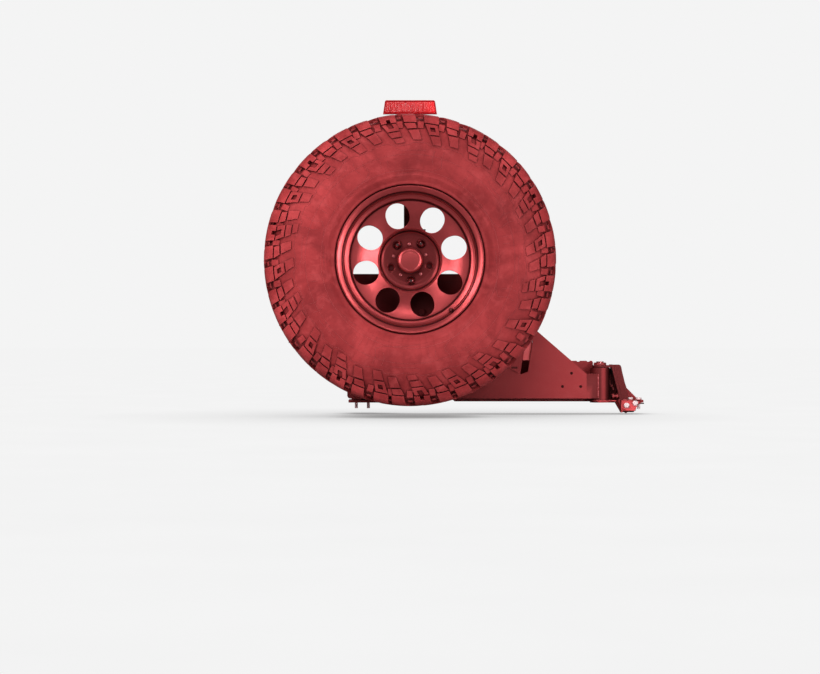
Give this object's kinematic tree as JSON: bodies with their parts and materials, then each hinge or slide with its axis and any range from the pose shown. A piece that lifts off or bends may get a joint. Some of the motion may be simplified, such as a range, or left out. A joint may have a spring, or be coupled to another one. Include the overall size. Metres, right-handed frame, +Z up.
{
  "type": "spare tire carrier",
  "caption": "Swing-away bumper carrier: hinge foot and tower, plate-faced arm on a tapered bearing pivot, mast with wheel mount, spare wheel and tyre, latch and high brake light.",
  "frame": {"origin": "middle of the two upright foot bolts, on the underside of the hinge foot (the bumper's top face)", "axes": "+Z up, +X outboard towards the hinge side, +Y towards the vehicle; the spare wheel faces -Y"},
  "size_m": [1.2229, 0.4897, 1.0174],
  "materials": {
    "coat": "fine-texture powder coat",
    "plated": "zinc plated",
    "bearing_steel": "ground",
    "nut_chrome": "polished",
    "spring": "oiled",
    "tread_rubber": "matte",
    "soft_rubber": "matte",
    "alloy": "machined satin",
    "lamp_body": "moulded",
    "lamp_board": "satin",
    "lamp_lens": "clear-coated"
  },
  "bodies": {
    "bumper_side": {"hinge_foot": "coat", "hinge_side_plate": "coat", "hinge_front_plate": "coat", "hinge_gusset": "coat", "hinge_ear": "coat", "foot_bolts": "plated", "foot_washers": "plated", "spindle": "bearing_steel", "spindle_spacer": "bearing_steel", "spindle_nut": "plated", "spindle_cotter": "plated", "bearing_cones": "bearing_steel", "stop_bolt": "plated", "striker_base": "coat", "striker_upright": "coat", "striker_pin": "plated", "striker_bolts": "plated", "rest_pad": "soft_rubber"},
    "rollers": {"bearing_rollers": "bearing_steel"},
    "swing_arm": {"pivot_tube": "coat", "bearing_cups": "bearing_steel", "grease_seals": "soft_rubber", "grease_fitting": "plated", "arm_tube": "coat", "arm_face_plate": "coat", "arm_rear_plate": "coat", "arm_end_plate": "coat", "mast": "coat", "mast_cap": "coat", "mount_doubler": "coat", "mount_bolts": "plated", "standoff": "coat", "standoff_gusset": "coat", "wheel_mount_plate": "coat", "wheel_studs": "plated", "latch_housing": "coat", "latch_pin": "plated", "latch_bolts": "plated", "hook_spring": "spring", "handle_bracket": "coat", "handle_pin": "plated", "handle_spring": "spring", "release_cable": "soft_rubber", "light_stalk": "coat", "stalk_screws": "plated", "light_housing": "lamp_body", "light_board": "lamp_board", "light_lens": "lamp_lens", "light_cable": "soft_rubber"},
    "hook": {"latch_hook": "plated"},
    "paddle": {"latch_handle": "coat"},
    "spare_wheel": {"tyre": "tread_rubber", "wheel": "alloy", "centre_cap": "alloy", "pad_screws": "plated", "valve_stem": "soft_rubber", "valve_cap": "soft_rubber"},
    "nut_1": {"lug_nut_1": "nut_chrome"},
    "nut_2": {"lug_nut_2": "nut_chrome"},
    "nut_3": {"lug_nut_3": "nut_chrome"}
  },
  "joints": [
    {"name": "arm_swing", "type": "hinge", "parent": "bumper_side", "child": "swing_arm", "pos_m": [-0.113, 0, 0.06], "axis": [0, 0, 1], "range_deg": [0, 92]},
    {"name": "roller_orbit", "type": "hinge", "parent": "bumper_side", "child": "rollers", "pos_m": [-0.113, 0, 0.06], "axis": [0, 0, 1], "range_deg": [-1, 52]},
    {"name": "hook_turn", "type": "hinge", "parent": "swing_arm", "child": "hook", "pos_m": [-0.913, -0.015, 0.053], "axis": [0, 0, 1], "range_deg": [-40, 0]},
    {"name": "paddle_pull", "type": "hinge", "parent": "swing_arm", "child": "paddle", "pos_m": [-0.3463, -0.032, 0.205], "axis": [-1, 0, 0], "range_deg": [0, 25]},
    {"name": "wheel_off", "type": "slide", "parent": "swing_arm", "child": "spare_wheel", "axis": [0, -1, 0], "range_m": [0, 0.12]},
    {"name": "nut_1_off", "type": "slide", "parent": "spare_wheel", "child": "nut_1", "axis": [0, -1, 0], "range_m": [0, 0.03]},
    {"name": "nut_2_off", "type": "slide", "parent": "spare_wheel", "child": "nut_2", "axis": [0, -1, 0], "range_m": [0, 0.03]},
    {"name": "nut_3_off", "type": "slide", "parent": "spare_wheel", "child": "nut_3", "axis": [0, -1, 0], "range_m": [0, 0.03]}
  ],
  "couplings": [
    {"joint": "roller_orbit", "follows": "arm_swing", "ratio": 0.553}
  ]
}
